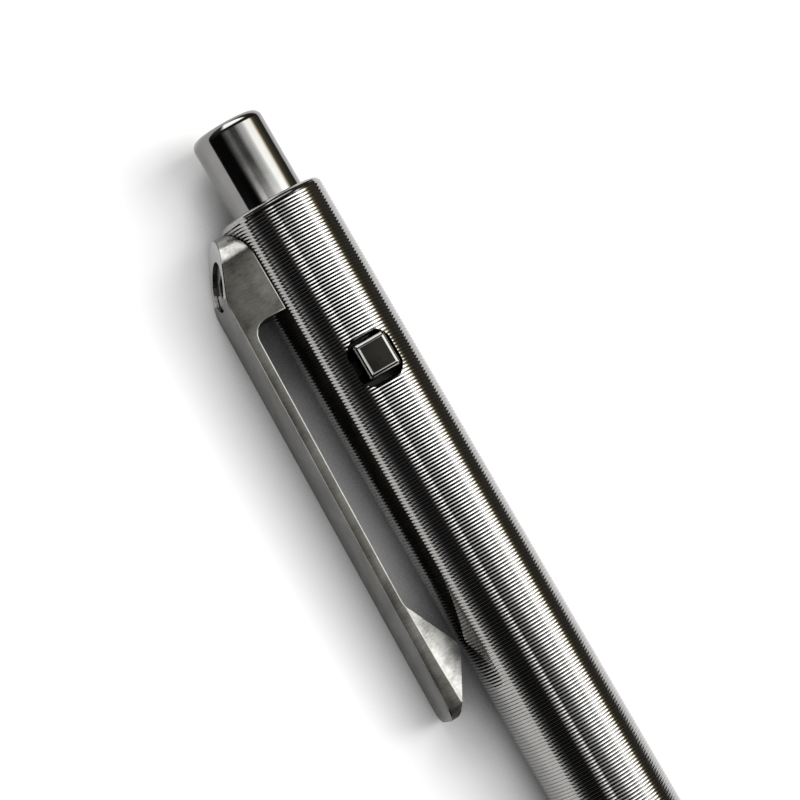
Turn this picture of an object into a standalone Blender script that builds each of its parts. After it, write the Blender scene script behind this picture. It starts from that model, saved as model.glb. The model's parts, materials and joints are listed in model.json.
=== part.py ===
# A click pen of turned titanium, lying on a table on its barrel and the edge of its clip.
# World axes: the plunger points to -X, the nose to +X and the table is z = 0.
# A station is a distance along the pen's axis from the end face of the barrel, positive
# towards the nose. In the pen's own frame the clip points to -Y and the button to +Z.
import math

import bmesh
import bpy
from mathutils import Matrix, Vector

# Driving dimensions, in metres
NOSE_LENGTH = 0.0390
REFILL_LENGTH = 0.0981
REFILL_RADIUS = 0.00295
POINT_DRAWN_IN = 0.0018
PLUNGER_RADIUS = 0.00373
PLUNGER_STANDS_OUT = 0.0086
CLICK_TRAVEL = 0.0050
BUTTON_TRAVEL = 0.0005

# Clearances
RUNNING_GAP = 0.00015
SEAT_GAP = 0.0001
SADDLE_GAP = 0.00006
OVERRUN = 0.0010

# Barrel
PLUNGER_HOLE_DEPTH = 0.0081
BARREL_BORE_ROOM = 0.00075
SPIGOT_BORE_STEP = 0.0004
WALL_OVER_SPIGOT = 0.0009
CROWN_ROUND = 0.0007
SEAM_ROUND = 0.0001
WINDOW_LENGTH = 0.0045
WINDOW_WIDTH = 0.0047
WINDOW_CORNER = 0.0012
WINDOW_CHAMFER = 0.0004

# Plunger
PLUNGER_LENGTH = 0.0100
PLUNGER_ROUND = 0.0009
PLUNGER_FOOT_ROUND = 0.0003
STEM_RADIUS = 0.0016
STEM_GRIP = 0.0050
GROOVE_DEPTH = 0.0005
GROOVE_PLAY = 0.0003
CUP_FLOOR = 0.0016
CUP_GRIP = 0.0011
CUP_SKIRT = 0.0015
CUP_WALL = 0.0004
BUMPER_WIRE_RADIUS = 0.0005

# Latch mechanism
HOUSING_LENGTH = 0.0160
BUTTON_FROM_HOUSING_TOP = 0.0099
PLATE_THICKNESS = 0.0015
PLATE_HALF_WIDTH = 0.0026
PLATE_CATCH_WEB = 0.0009
PLATE_BUTTON_WEB = 0.0005
PLATE_CORNER = 0.0004
POST_HALF_WIDTH = 0.0008
POST_HEIGHT = 0.0020
BUTTON_LENGTH = 0.0037
BUTTON_WIDTH = 0.0035
BUTTON_PROUD = 0.00026
BUTTON_ROUND = 0.0005
BUTTON_OFF_CENTRE = 0.00015
BUTTON_OFF_SIDE = 0.0002
LATCH_SPRING_WIRE_RADIUS = 0.00008
LATCH_SPRING_RADIUS = 0.0006
LATCH_SPRING_HOLE_RADIUS = 0.00095
LOCK_RING_LENGTH = 0.0020

# Refill
REFILL_CAP_LENGTH = 0.0026
REFILL_CAP_SPIGOT = 0.0024
REFILL_WALL = 0.0004
POINT_LENGTH = 0.0212
POINT_SHANK = 0.0050
POINT_FLANGE = 0.0008
NECK_RADIUS = 0.0015
NECK_LENGTH = 0.0102
TIP_TUBE_RADIUS = 0.00118
TIP_CONE_LENGTH = 0.0024
TIP_END_RADIUS = 0.00075
INK_BORE_RADIUS = 0.00035
BALL_RADIUS = 0.0005
BALL_STANDS_OUT = 0.0002
BALL_GAP = 0.00006

# Nose
SPIGOT_LENGTH = 0.0075
NOSE_BORE_ROOM = 0.00025
NOSE_STRAIGHT = 0.0200
NOSE_END_RADIUS = 0.0017
NOSE_END_ROUND = 0.0004
NOSE_TIP_BORE_LENGTH = 0.0070
NOSE_SHOULDER_FROM_END = 0.0121
O_RING_WIRE_RADIUS = 0.00033
O_RING_GROOVE_DEPTH = 0.0007
O_RING_GROOVE_LENGTH = 0.0012
O_RING_FROM_SEAM = 0.0008
WASHER_THICKNESS = 0.0004
RETURN_SPRING_WIRE_RADIUS = 0.0002
RETURN_SPRING_RADIUS = 0.0022

# Clip, whose rises are measured from the barrel's skin
CLIP_TOP = 0.00065
CLIP_HALF_WIDTH = 0.00315
CLIP_TIP_HALF_WIDTH = 0.00265
CLIP_END = 0.0515
CLIP_TIP_CORNER = 0.0013
CLIP_BASE_RISE = 0.00385
CLIP_TIP_RISE = 0.00497
CLIP_THICKNESS = 0.0011
FACET_END = 0.00656
FACET_ANGLE = math.radians(23.6)
FACET_BLEND = 0.0050
BLOCK_END = 0.00975
THROAT_ROUND = 0.0015
BUMP_START = 0.0397
BUMP_PEAK = 0.0458
BUMP_ABOVE_BARREL = 0.0002
BUMP_PEAK_ROUND = 0.0010
BUMP_FLANK_DROP = 0.00027
TIP_THICKNESS = 0.00085
RIDGE_HALF_WIDTH = 0.0007

# Clip screw
SCREW_FROM_CLIP_TOP = 0.00406
SCREW_HEAD_RADIUS = 0.00225
SCREW_HEAD_HEIGHT = 0.00125
SCREW_SHANK_RADIUS = 0.00115
SCREW_CLEAR_OF_PLUNGER = 0.0007
SCREW_KEY_RADIUS = 0.00115
SCREW_KEY_DEPTH = 0.0009
SCREW_SUNK = 0.00035
COUNTERBORE_GAP = 0.0002

# How finely round shapes are cut, and other counts
BODY_SIDES = 64
SMALL_SIDES = 32
HOLE_SIDES = 24
RING_SIDES = 8
ARC_STEPS = 4
NOSE_STEPS = 8
BUTTON_STEPS = 3
BALL_RINGS = 8
KEY_SIDES = 6
RETURN_SPRING_TURNS = 8
LATCH_SPRING_TURNS = 2
POINTS_PER_TURN = 10
NOSE_FULLNESS = 1.6
MERGE_DISTANCE = 0.000001
SHARP_ANGLE = math.radians(30)

# Stations along the pen, worked out from the plunger towards the nose
plunger_top = -PLUNGER_STANDS_OUT
plunger_foot = plunger_top + PLUNGER_LENGTH
housing_top = PLUNGER_HOLE_DEPTH + SEAT_GAP
housing_end = housing_top + HOUSING_LENGTH
plate_station = housing_top + BUTTON_FROM_HOUSING_TOP
bumper_station = housing_end + SEAT_GAP + BUMPER_WIRE_RADIUS
cup_top = bumper_station + BUMPER_WIRE_RADIUS + SEAT_GAP
refill_rear = cup_top + CUP_FLOOR + SEAT_GAP
refill_point = refill_rear + REFILL_LENGTH
pen_end = refill_point + POINT_DRAWN_IN
barrel_end = pen_end - NOSE_LENGTH
spigot_start = barrel_end - SPIGOT_LENGTH
point_end = refill_point - BALL_STANDS_OUT
flange_end = refill_point - POINT_LENGTH
flange_start = flange_end - POINT_FLANGE
nose_shoulder = pen_end - NOSE_SHOULDER_FROM_END

# Radii that follow from what fits where, from the refill out to the barrel's skin
cup_bore_radius = REFILL_RADIUS + SEAT_GAP
cup_radius = cup_bore_radius + CUP_WALL
barrel_bore_radius = cup_radius + BARREL_BORE_ROOM
spigot_bore_radius = barrel_bore_radius + SPIGOT_BORE_STEP
pen_radius = spigot_bore_radius + WALL_OVER_SPIGOT
nose_bore_radius = REFILL_RADIUS + NOSE_BORE_ROOM
plunger_hole_radius = PLUNGER_RADIUS + RUNNING_GAP
housing_radius = barrel_bore_radius - SEAT_GAP
refill_bore_radius = REFILL_RADIUS - REFILL_WALL
spigot_radius = spigot_bore_radius - SEAT_GAP
o_ring_groove_radius = spigot_radius - O_RING_GROOVE_DEPTH
ball_socket_radius = BALL_RADIUS + BALL_GAP

# The latch plate, measured from the pen's axis towards the button
catch_edge = STEM_RADIUS + SEAT_GAP
plate_hole_top = STEM_RADIUS + BUTTON_TRAVEL + SEAT_GAP
plate_low = -(catch_edge + PLATE_CATCH_WEB)
plate_high = plate_hole_top + PLATE_BUTTON_WEB
button_low = plate_high + SEAT_GAP
button_high = pen_radius + BUTTON_PROUD

# The clip's outer line, and the facet that leads up to it from the clip's top
clip_base_radius = pen_radius + CLIP_BASE_RISE
clip_tip_radius = pen_radius + CLIP_TIP_RISE
clip_flare = (clip_tip_radius - clip_base_radius) / (CLIP_END - FACET_END)
facet_slope = math.tan(FACET_ANGLE)
facet_top_radius = clip_base_radius - (FACET_END - CLIP_TOP) * facet_slope
bump_radius = pen_radius + BUMP_ABOVE_BARREL
arm_taper = (CLIP_HALF_WIDTH - CLIP_TIP_HALF_WIDTH) / (CLIP_END - BLOCK_END)

# The clip screw runs square to the facet and stops in the wall round the plunger
facet_screw_radius = facet_top_radius + SCREW_FROM_CLIP_TOP * facet_slope
shank_from_plunger = (facet_screw_radius - plunger_hole_radius) / math.cos(FACET_ANGLE)
screw_shank_length = (
    shank_from_plunger - SCREW_SUNK - SCREW_HEAD_HEIGHT - SCREW_CLEAR_OF_PLUNGER
)


def arm_radius(station):
    return clip_base_radius + (station - FACET_END) * clip_flare


def roll_to_touch(radius, half_width):
    # The angle that brings the clip's lower outer edge down to the table
    reach = math.hypot(radius, half_width)
    return math.asin(pen_radius / reach) - math.atan2(half_width, radius)


roll = min(
    roll_to_touch(arm_radius(BLOCK_END), CLIP_HALF_WIDTH),
    roll_to_touch(clip_tip_radius, CLIP_TIP_HALF_WIDTH),
)
clip_reach = clip_tip_radius * math.cos(roll) + CLIP_TIP_HALF_WIDTH * math.sin(roll)
axis_x = -(plunger_top + pen_end) / 2
axis_y = (clip_reach - pen_radius) / 2

for item in list(bpy.data.objects):
    bpy.data.objects.remove(item, do_unlink=True)

pen_parts = bpy.data.collections.new("titanium_ballpoint_pen")
cutters = bpy.data.collections.new("cutters")
cutters.hide_render = True
for group in (pen_parts, cutters):
    bpy.context.scene.collection.children.link(group)

pen_axis = bpy.data.objects.new("pen_axis", None)
pen_axis.location = (axis_x, axis_y, pen_radius)
pen_axis.rotation_euler = (roll, 0, 0)
pen_parts.objects.link(pen_axis)


def material(name, colour, roughness, metallic):
    made = bpy.data.materials.new(name)
    made.use_nodes = True
    shader = made.node_tree.nodes["Principled BSDF"]
    shader.inputs["Base Color"].default_value = (*colour, 1)
    shader.inputs["Roughness"].default_value = roughness
    shader.inputs["Metallic"].default_value = metallic
    return made


def place(piece, frame, surface):
    # Puts a piece in the pen's frame: a part with its material, a cutter as a hidden wire
    piece.parent = pen_axis
    piece.location = frame.to_translation()
    piece.rotation_euler = frame.to_euler()
    if surface is None:
        cutters.objects.link(piece)
        piece.hide_render = True
        piece.display_type = "WIRE"
    else:
        pen_parts.objects.link(piece)
        piece.data.materials.append(surface)
    return piece


def frame_at(origin, right, up):
    # The frame with this origin whose X axis is right and whose Y axis is up
    right, up = Vector(right), Vector(up)
    turn = Matrix((right, up, right.cross(up))).transposed().to_4x4()
    return Matrix.Translation(origin) @ turn


def axial(station):
    # Z towards the plunger, for turned pieces
    return frame_at((station, 0, 0), (0, 0, 1), (0, 1, 0))


def side_view():
    # X towards the nose and Y out along the clip
    return frame_at((0, 0, 0), (1, 0, 0), (0, -1, 0))


def plan_view(radius):
    # X towards the nose and Y towards the button, at this distance out along the clip
    return frame_at((0, -radius, 0), (1, 0, 0), (0, 0, 1))


def cross_section(station):
    # X across the clip's direction and Y towards the button
    return frame_at((station, 0, 0), (0, 1, 0), (0, 0, 1))


def rounded(corners, closed=True):
    # The corners as points, each corner that has a radius made into an arc
    outline = []
    for index, (x, y, radius) in enumerate(corners):
        corner = Vector((x, y))
        if not radius or not closed and index in (0, len(corners) - 1):
            outline.append(corner)
            continue
        following = corners[(index + 1) % len(corners)]
        before = (Vector(corners[index - 1][:2]) - corner).normalized()
        after = (Vector(following[:2]) - corner).normalized()
        half = before.angle(after) / 2
        centre = corner + (before + after).normalized() * radius / math.sin(half)
        start = corner + before * radius / math.tan(half) - centre
        end = corner + after * radius / math.tan(half) - centre
        sweep = start.angle(end)
        for step in range(ARC_STEPS + 1):
            share = step / ARC_STEPS
            early = math.sin((1 - share) * sweep) / math.sin(sweep)
            late = math.sin(share * sweep) / math.sin(sweep)
            outline.append(centre + start * early + end * late)
    return outline


def turned(name, station, corners, surface, sides=SMALL_SIDES, closed=True):
    # Corners are (station, radius, rounding) from the plunger's end down the outer side
    outline = rounded(corners, closed)
    count = len(outline)
    edges = [(i, (i + 1) % count) for i in range(count if closed else count - 1)]
    mesh = bpy.data.meshes.new(name)
    mesh.from_pydata([(p.y, 0, station - p.x) for p in outline], edges, [])
    piece = place(bpy.data.objects.new(name, mesh), axial(station), surface)
    screw = piece.modifiers.new("turn", "SCREW")
    screw.steps = screw.render_steps = sides
    screw.use_merge_vertices = True
    screw.merge_threshold = MERGE_DISTANCE
    return piece


def ring(name, station, radius, wire_radius, surface, sides=SMALL_SIDES):
    # A rubber ring round the pen's axis
    bpy.ops.mesh.primitive_torus_add(
        major_radius=radius,
        minor_radius=wire_radius,
        major_segments=sides,
        minor_segments=RING_SIDES,
    )
    piece = bpy.context.object
    piece.name = name
    for group in piece.users_collection:
        group.objects.unlink(piece)
    return place(piece, axial(station), surface)


def plate(name, frame, outlines, thickness, surface=None):
    # Flat outlines filled and thickened evenly to both sides of the frame's plane
    curve = bpy.data.curves.new(name, "CURVE")
    curve.dimensions = "2D"
    curve.fill_mode = "BOTH"
    curve.extrude = thickness / 2
    for outline in outlines:
        spline = curve.splines.new("POLY")
        spline.points.add(len(outline) - 1)
        for point, place_at in zip(spline.points, outline):
            point.co = (*place_at, 0, 1)
        spline.use_cyclic_u = True
    drawn = bpy.data.objects.new(name, curve)
    pen_parts.objects.link(drawn)
    evaluated = drawn.evaluated_get(bpy.context.evaluated_depsgraph_get())
    mesh = bpy.data.meshes.new_from_object(evaluated)
    bpy.data.objects.remove(drawn)
    shape = bmesh.new()
    shape.from_mesh(mesh)
    bmesh.ops.remove_doubles(shape, verts=shape.verts, dist=MERGE_DISTANCE)
    bmesh.ops.recalc_face_normals(shape, faces=shape.faces)
    shape.to_mesh(mesh)
    shape.free()
    mesh.materials.clear()
    return place(bpy.data.objects.new(name, mesh), frame, surface)


def cylinder(name, frame, radius, length, end_radius=None, sides=HOLE_SIDES, surface=None):
    # Starts at the frame's origin and runs along its Z axis
    shape = bmesh.new()
    bmesh.ops.create_cone(
        shape,
        cap_ends=True,
        segments=sides,
        radius1=radius,
        radius2=radius if end_radius is None else end_radius,
        depth=length,
        matrix=Matrix.Translation((0, 0, length / 2)),
    )
    mesh = bpy.data.meshes.new(name)
    shape.to_mesh(mesh)
    shape.free()
    return place(bpy.data.objects.new(name, mesh), frame, surface)


def box(name, low, high, surface=None):
    # A box between two corners given in the pen's frame
    low, high = Vector(low), Vector(high)
    shape = bmesh.new()
    size = Matrix.Diagonal((high - low).to_4d())
    bmesh.ops.create_cube(shape, size=1, matrix=size)
    mesh = bpy.data.meshes.new(name)
    shape.to_mesh(mesh)
    shape.free()
    middle = Matrix.Translation((low + high) / 2)
    return place(bpy.data.objects.new(name, mesh), middle, surface)


def combine(piece, operation, *others):
    for other in others:
        change = piece.modifiers.new(f"{operation.lower()} {other.name}", "BOOLEAN")
        change.operation = operation
        change.object = other


def coil(name, frame, radius, wire_radius, length, turns, surface):
    # A helix of round wire, half a wire inside each end of its length
    reach = length - 2 * wire_radius
    count = round(turns * POINTS_PER_TURN)
    points = []
    for index in range(count + 1):
        angle = 2 * math.pi * index / POINTS_PER_TURN
        along = wire_radius + reach * index / count
        points.append(Vector((radius * math.cos(angle), radius * math.sin(angle), along)))
    curve = bpy.data.curves.new(name, "CURVE")
    curve.dimensions = "3D"
    curve.bevel_depth = wire_radius
    curve.bevel_resolution = 1
    curve.use_fill_caps = True
    spline = curve.splines.new("POLY")
    spline.points.add(count)
    for point, place_at in zip(spline.points, points):
        point.co = (*place_at, 1)
    apart = POINTS_PER_TURN // 2
    gap = min(
        (first - second).length
        for index, first in enumerate(points)
        for second in points[index + apart :]
    )
    print(f"{name}: least gap between turns {(gap - 2 * wire_radius) * 1000:.2f} mm")
    return place(bpy.data.objects.new(name, curve), frame, surface)


titanium = material("machined_titanium", (0.46, 0.45, 0.43), 0.28, 1.0)
polished = material("polished_titanium", (0.50, 0.49, 0.47), 0.16, 1.0)
steel = material("stainless_steel", (0.58, 0.58, 0.58), 0.25, 1.0)
dark_steel = material("dark_steel", (0.16, 0.16, 0.16), 0.3, 1.0)
brass = material("brass", (0.70, 0.52, 0.25), 0.3, 1.0)
rubber = material("black_rubber", (0.02, 0.02, 0.02), 0.7, 0.0)
plastic = material("white_plastic", (0.75, 0.75, 0.72), 0.5, 0.0)
ink = material("black_ink", (0.01, 0.01, 0.015), 0.3, 0.0)


def make_barrel():
    barrel = turned(
        "barrel",
        0.0,
        [
            (0, plunger_hole_radius, 0),
            (0, pen_radius, CROWN_ROUND),
            (barrel_end, pen_radius, SEAM_ROUND),
            (barrel_end, spigot_bore_radius, 0),
            (spigot_start - SEAT_GAP, spigot_bore_radius, 0),
            (spigot_start - SEAT_GAP, barrel_bore_radius, 0),
            (PLUNGER_HOLE_DEPTH, barrel_bore_radius, 0),
            (PLUNGER_HOLE_DEPTH, plunger_hole_radius, 0),
        ],
        titanium,
        BODY_SIDES,
    )
    # The button's window goes through the wall, with a chamfer round its outer edge
    reach = pen_radius + OVERRUN
    window = plate(
        "window_cutter",
        frame_at((plate_station, 0, reach / 2), (1, 0, 0), (0, 1, 0)),
        [rounded(rounded_box(WINDOW_LENGTH / 2, WINDOW_WIDTH / 2, WINDOW_CORNER))],
        reach,
    )
    combine(barrel, "DIFFERENCE", window, make_window_chamfer())
    combine(barrel, "DIFFERENCE", screw_hole("barrel_thread_cutter"))
    return barrel


def rounded_box(half_length, half_width, corner):
    return [
        (-half_length, -half_width, corner),
        (half_length, -half_width, corner),
        (half_length, half_width, corner),
        (-half_length, half_width, corner),
    ]


def make_window_chamfer():
    # A loft between the window's outline and the same outline grown by its own rise
    shape = bmesh.new()
    loops = []
    for grown in (0, WINDOW_CHAMFER + OVERRUN):
        outline = rounded(
            rounded_box(
                WINDOW_LENGTH / 2 + grown,
                WINDOW_WIDTH / 2 + grown,
                WINDOW_CORNER + grown,
            )
        )
        height = pen_radius - WINDOW_CHAMFER + grown
        loops.append([shape.verts.new((point.x, point.y, height)) for point in outline])
    shape.faces.new(loops[0])
    shape.faces.new(reversed(loops[1]))
    count = len(loops[0])
    for index in range(count):
        after = (index + 1) % count
        shape.faces.new((loops[0][index], loops[0][after], loops[1][after], loops[1][index]))
    bmesh.ops.recalc_face_normals(shape, faces=shape.faces)
    mesh = bpy.data.meshes.new("window_chamfer_cutter")
    shape.to_mesh(mesh)
    shape.free()
    frame = frame_at((plate_station, 0, 0), (1, 0, 0), (0, 1, 0))
    return place(bpy.data.objects.new("window_chamfer_cutter", mesh), frame, None)


def screw_frame(depth):
    # Z runs in along the screw, square to the clip's facet and this deep below it
    inward = Vector((math.sin(FACET_ANGLE), math.cos(FACET_ANGLE), 0))
    centre = Vector(
        (
            CLIP_TOP + SCREW_FROM_CLIP_TOP,
            -facet_screw_radius,
            0,
        )
    )
    right = Vector((0, 0, 1))
    return frame_at(centre + inward * depth, right, inward.cross(right))


def screw_hole(name):
    # The threaded hole through the barrel's wall, which ends in the plunger's hole
    head_end = SCREW_SUNK + SCREW_HEAD_HEIGHT
    return cylinder(
        name,
        screw_frame(head_end),
        SCREW_SHANK_RADIUS + SEAT_GAP,
        screw_shank_length + OVERRUN,
    )


def make_clip():
    inner = [
        (BLOCK_END, arm_radius(BLOCK_END) - CLIP_THICKNESS, THROAT_ROUND),
        (BUMP_START, arm_radius(BUMP_START) - CLIP_THICKNESS, THROAT_ROUND),
        (BUMP_PEAK, bump_radius, BUMP_PEAK_ROUND),
        (CLIP_END, clip_tip_radius - TIP_THICKNESS, 0),
    ]
    profile = rounded(
        [
            (CLIP_TOP, 0, 0),
            (BLOCK_END, 0, 0),
            *inner,
            (CLIP_END, clip_tip_radius, 0),
            (FACET_END, clip_base_radius, FACET_BLEND),
            (CLIP_TOP, facet_top_radius, 0),
        ]
    )
    clip = plate("clip", side_view(), [profile], 2 * CLIP_HALF_WIDTH, titanium)
    # Seen from outside: a half round head, straight to the block's end, then tapering
    head_centre = CLIP_TOP + CLIP_HALF_WIDTH
    head = [
        Vector(
            (
                head_centre - CLIP_HALF_WIDTH * math.sin(math.pi * step / SMALL_SIDES),
                CLIP_HALF_WIDTH * math.cos(math.pi * step / SMALL_SIDES),
            )
        )
        for step in range(SMALL_SIDES + 1)
    ]
    tail = rounded(
        [
            (BLOCK_END, -CLIP_HALF_WIDTH, 0),
            (CLIP_END, -CLIP_TIP_HALF_WIDTH, CLIP_TIP_CORNER),
            (CLIP_END, CLIP_TIP_HALF_WIDTH, CLIP_TIP_CORNER),
            (BLOCK_END, CLIP_HALF_WIDTH, 0),
        ],
        closed=False,
    )
    plan = plate("clip_plan_cutter", plan_view(0.0), [head + tail], 4 * clip_tip_radius)
    combine(clip, "INTERSECT", plan)
    combine(clip, "DIFFERENCE", *bump_flanks())
    # The head straddles the barrel
    saddle = cylinder(
        "clip_saddle_cutter",
        frame_at((-OVERRUN, 0, 0), (0, 1, 0), (0, 0, 1)),
        pen_radius + SADDLE_GAP,
        BUMP_START,
        sides=BODY_SIDES,
    )
    seat_depth = SCREW_SUNK + SCREW_HEAD_HEIGHT + SEAT_GAP
    counterbore = cylinder(
        "counterbore_cutter",
        screw_frame(-OVERRUN),
        SCREW_HEAD_RADIUS + COUNTERBORE_GAP,
        seat_depth + OVERRUN,
        sides=SMALL_SIDES,
    )
    combine(clip, "DIFFERENCE", saddle, counterbore, screw_hole("clip_hole_cutter"))
    return clip


def bump_flanks():
    # Two wedges that narrow the bump from the arm's width to its ridge
    widest = CLIP_HALF_WIDTH + OVERRUN
    base = arm_radius(BUMP_PEAK) - CLIP_THICKNESS - BUMP_FLANK_DROP
    base_half_width = CLIP_HALF_WIDTH - (BUMP_PEAK - BLOCK_END) * arm_taper
    slant = (base_half_width - RIDGE_HALF_WIDTH) / (base - bump_radius)
    low_half_width = RIDGE_HALF_WIDTH - OVERRUN * slant
    length = CLIP_END - BUMP_START + OVERRUN
    middle = (CLIP_END + BUMP_START + OVERRUN) / 2
    wedges = []
    for side in (1, -1):
        outline = [
            Vector((-base, side * base_half_width)),
            Vector((-base, side * widest)),
            Vector((OVERRUN - bump_radius, side * widest)),
            Vector((OVERRUN - bump_radius, side * low_half_width)),
        ]
        name = "bump_flank_cutter_near" if side > 0 else "bump_flank_cutter_far"
        wedges.append(plate(name, cross_section(middle), [outline], length))
    return wedges


def make_clip_screw():
    screw = cylinder(
        "clip_screw",
        screw_frame(SCREW_SUNK),
        SCREW_HEAD_RADIUS,
        SCREW_HEAD_HEIGHT,
        sides=SMALL_SIDES,
        surface=steel,
    )
    shank = cylinder(
        "screw_shank_joined",
        screw_frame(SCREW_SUNK + SCREW_HEAD_HEIGHT / 2),
        SCREW_SHANK_RADIUS,
        screw_shank_length + SCREW_HEAD_HEIGHT / 2,
    )
    key = cylinder(
        "screw_key_cutter",
        screw_frame(SCREW_SUNK - OVERRUN),
        SCREW_KEY_RADIUS,
        SCREW_KEY_DEPTH + OVERRUN,
        sides=KEY_SIDES,
    )
    combine(screw, "UNION", shank)
    combine(screw, "DIFFERENCE", key)
    return screw


def make_plunger():
    grip_top = plunger_foot - STEM_GRIP
    stem_end = cup_top + CUP_GRIP
    groove = plate_station - CLICK_TRAVEL
    half_groove = PLATE_THICKNESS / 2 + GROOVE_PLAY
    turned(
        "plunger_cap",
        plunger_top,
        [
            (plunger_top, 0, 0),
            (plunger_top, PLUNGER_RADIUS, PLUNGER_ROUND),
            (plunger_foot, PLUNGER_RADIUS, PLUNGER_FOOT_ROUND),
            (plunger_foot, STEM_RADIUS + SEAT_GAP, 0),
            (grip_top - SEAT_GAP, STEM_RADIUS + SEAT_GAP, 0),
            (grip_top - SEAT_GAP, 0, 0),
        ],
        polished,
        BODY_SIDES,
        closed=False,
    )
    turned(
        "plunger_stem",
        grip_top,
        [
            (grip_top, 0, 0),
            (grip_top, STEM_RADIUS, 0),
            (groove - half_groove, STEM_RADIUS, 0),
            (groove - half_groove, STEM_RADIUS - GROOVE_DEPTH, 0),
            (groove + half_groove, STEM_RADIUS - GROOVE_DEPTH, 0),
            (groove + half_groove, STEM_RADIUS, 0),
            (stem_end, STEM_RADIUS, 0),
            (stem_end, 0, 0),
        ],
        steel,
        closed=False,
    )
    skirt_end = refill_rear + CUP_SKIRT
    turned(
        "thrust_cup",
        cup_top,
        [
            (stem_end + SEAT_GAP, 0, 0),
            (stem_end + SEAT_GAP, STEM_RADIUS + SEAT_GAP, 0),
            (cup_top, STEM_RADIUS + SEAT_GAP, 0),
            (cup_top, cup_radius, 0),
            (skirt_end, cup_radius, 0),
            (skirt_end, cup_bore_radius, 0),
            (refill_rear - SEAT_GAP, cup_bore_radius, 0),
            (refill_rear - SEAT_GAP, 0, 0),
        ],
        steel,
        closed=False,
    )
    bumper_radius = STEM_RADIUS + SEAT_GAP + BUMPER_WIRE_RADIUS
    ring("plunger_bumper", bumper_station, bumper_radius, BUMPER_WIRE_RADIUS, rubber)


def make_housing():
    stem_hole = STEM_RADIUS + RUNNING_GAP
    housing = turned(
        "mechanism_housing",
        housing_top,
        [
            (housing_top, stem_hole, 0),
            (housing_top, housing_radius, 0),
            (housing_end, housing_radius, 0),
            (housing_end, stem_hole, 0),
        ],
        brass,
    )
    # The slot for the latch plate, the room for the button's foot and the spring's hole
    across = PLATE_HALF_WIDTH + RUNNING_GAP
    along = PLATE_THICKNESS / 2 + RUNNING_GAP
    out = housing_radius + OVERRUN
    slot = box(
        "plate_slot_cutter",
        (plate_station - along, -across, plate_low - BUTTON_TRAVEL - RUNNING_GAP),
        (plate_station + along, across, out),
    )
    foot_across = BUTTON_WIDTH / 2 + BUTTON_OFF_SIDE + RUNNING_GAP
    foot_along = BUTTON_LENGTH / 2 + BUTTON_OFF_CENTRE + RUNNING_GAP
    foot = box(
        "button_foot_cutter",
        (plate_station - foot_along, -foot_across, button_low - BUTTON_TRAVEL - SEAT_GAP),
        (plate_station + foot_along, foot_across, out),
    )
    spring_hole = cylinder(
        "spring_hole_cutter",
        frame_at((plate_station, 0, -STEM_RADIUS), (1, 0, 0), (0, -1, 0)),
        LATCH_SPRING_HOLE_RADIUS,
        housing_radius,
    )
    combine(housing, "DIFFERENCE", slot, foot, spring_hole)
    ring_start = housing_end + SEAT_GAP
    turned(
        "housing_lock_ring",
        ring_start,
        [
            (ring_start, cup_radius + RUNNING_GAP, 0),
            (ring_start, housing_radius, 0),
            (ring_start + LOCK_RING_LENGTH, housing_radius, 0),
            (ring_start + LOCK_RING_LENGTH, cup_radius + RUNNING_GAP, 0),
        ],
        steel,
    )


def make_latch():
    # The plate's outline carries the post that the button is pressed on
    post_top = plate_high + POST_HEIGHT
    outline = rounded(
        [
            (-PLATE_HALF_WIDTH, plate_low, PLATE_CORNER),
            (PLATE_HALF_WIDTH, plate_low, PLATE_CORNER),
            (PLATE_HALF_WIDTH, plate_high, PLATE_CORNER),
            (POST_HALF_WIDTH, plate_high, 0),
            (POST_HALF_WIDTH, post_top, 0),
            (-POST_HALF_WIDTH, post_top, 0),
            (-POST_HALF_WIDTH, plate_high, 0),
            (-PLATE_HALF_WIDTH, plate_high, PLATE_CORNER),
        ]
    )
    # The hole is two half circles apart by the button's travel
    hole = []
    for step in range(HOLE_SIDES + 2):
        upper = step <= HOLE_SIDES // 2
        angle = 2 * math.pi * (step if upper else step - 1) / HOLE_SIDES
        lift = BUTTON_TRAVEL if upper else 0
        hole.append(Vector((catch_edge * math.cos(angle), catch_edge * math.sin(angle) + lift)))
    plate("latch_plate", cross_section(plate_station), [outline, hole], PLATE_THICKNESS, steel)
    station = plate_station - BUTTON_OFF_CENTRE
    half_length, half_width = BUTTON_LENGTH / 2, BUTTON_WIDTH / 2
    button = box(
        "release_button",
        (station - half_length, BUTTON_OFF_SIDE - half_width, button_low),
        (station + half_length, BUTTON_OFF_SIDE + half_width, button_high),
        dark_steel,
    )
    top_edges = button.data.attributes.new("bevel_weight_edge", "FLOAT", "EDGE")
    middle = (button_high - button_low) / 2
    for edge in button.data.edges:
        heights = [button.data.vertices[index].co.z for index in edge.vertices]
        top_edges.data[edge.index].value = float(min(heights) > middle - SEAT_GAP)
    rounding = button.modifiers.new("top rounding", "BEVEL")
    rounding.limit_method = "WEIGHT"
    rounding.width = BUTTON_ROUND
    rounding.segments = BUTTON_STEPS
    socket = box(
        "button_socket_cutter",
        (
            plate_station - PLATE_THICKNESS / 2 - SEAT_GAP,
            -POST_HALF_WIDTH - SEAT_GAP,
            button_low - OVERRUN,
        ),
        (
            plate_station + PLATE_THICKNESS / 2 + SEAT_GAP,
            POST_HALF_WIDTH + SEAT_GAP,
            post_top + SEAT_GAP,
        ),
    )
    combine(button, "DIFFERENCE", socket)
    coil(
        "latch_spring",
        frame_at((plate_station, 0, plate_low - SEAT_GAP), (1, 0, 0), (0, -1, 0)),
        LATCH_SPRING_RADIUS,
        LATCH_SPRING_WIRE_RADIUS,
        barrel_bore_radius + plate_low - 2 * SEAT_GAP,
        LATCH_SPRING_TURNS,
        steel,
    )


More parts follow.
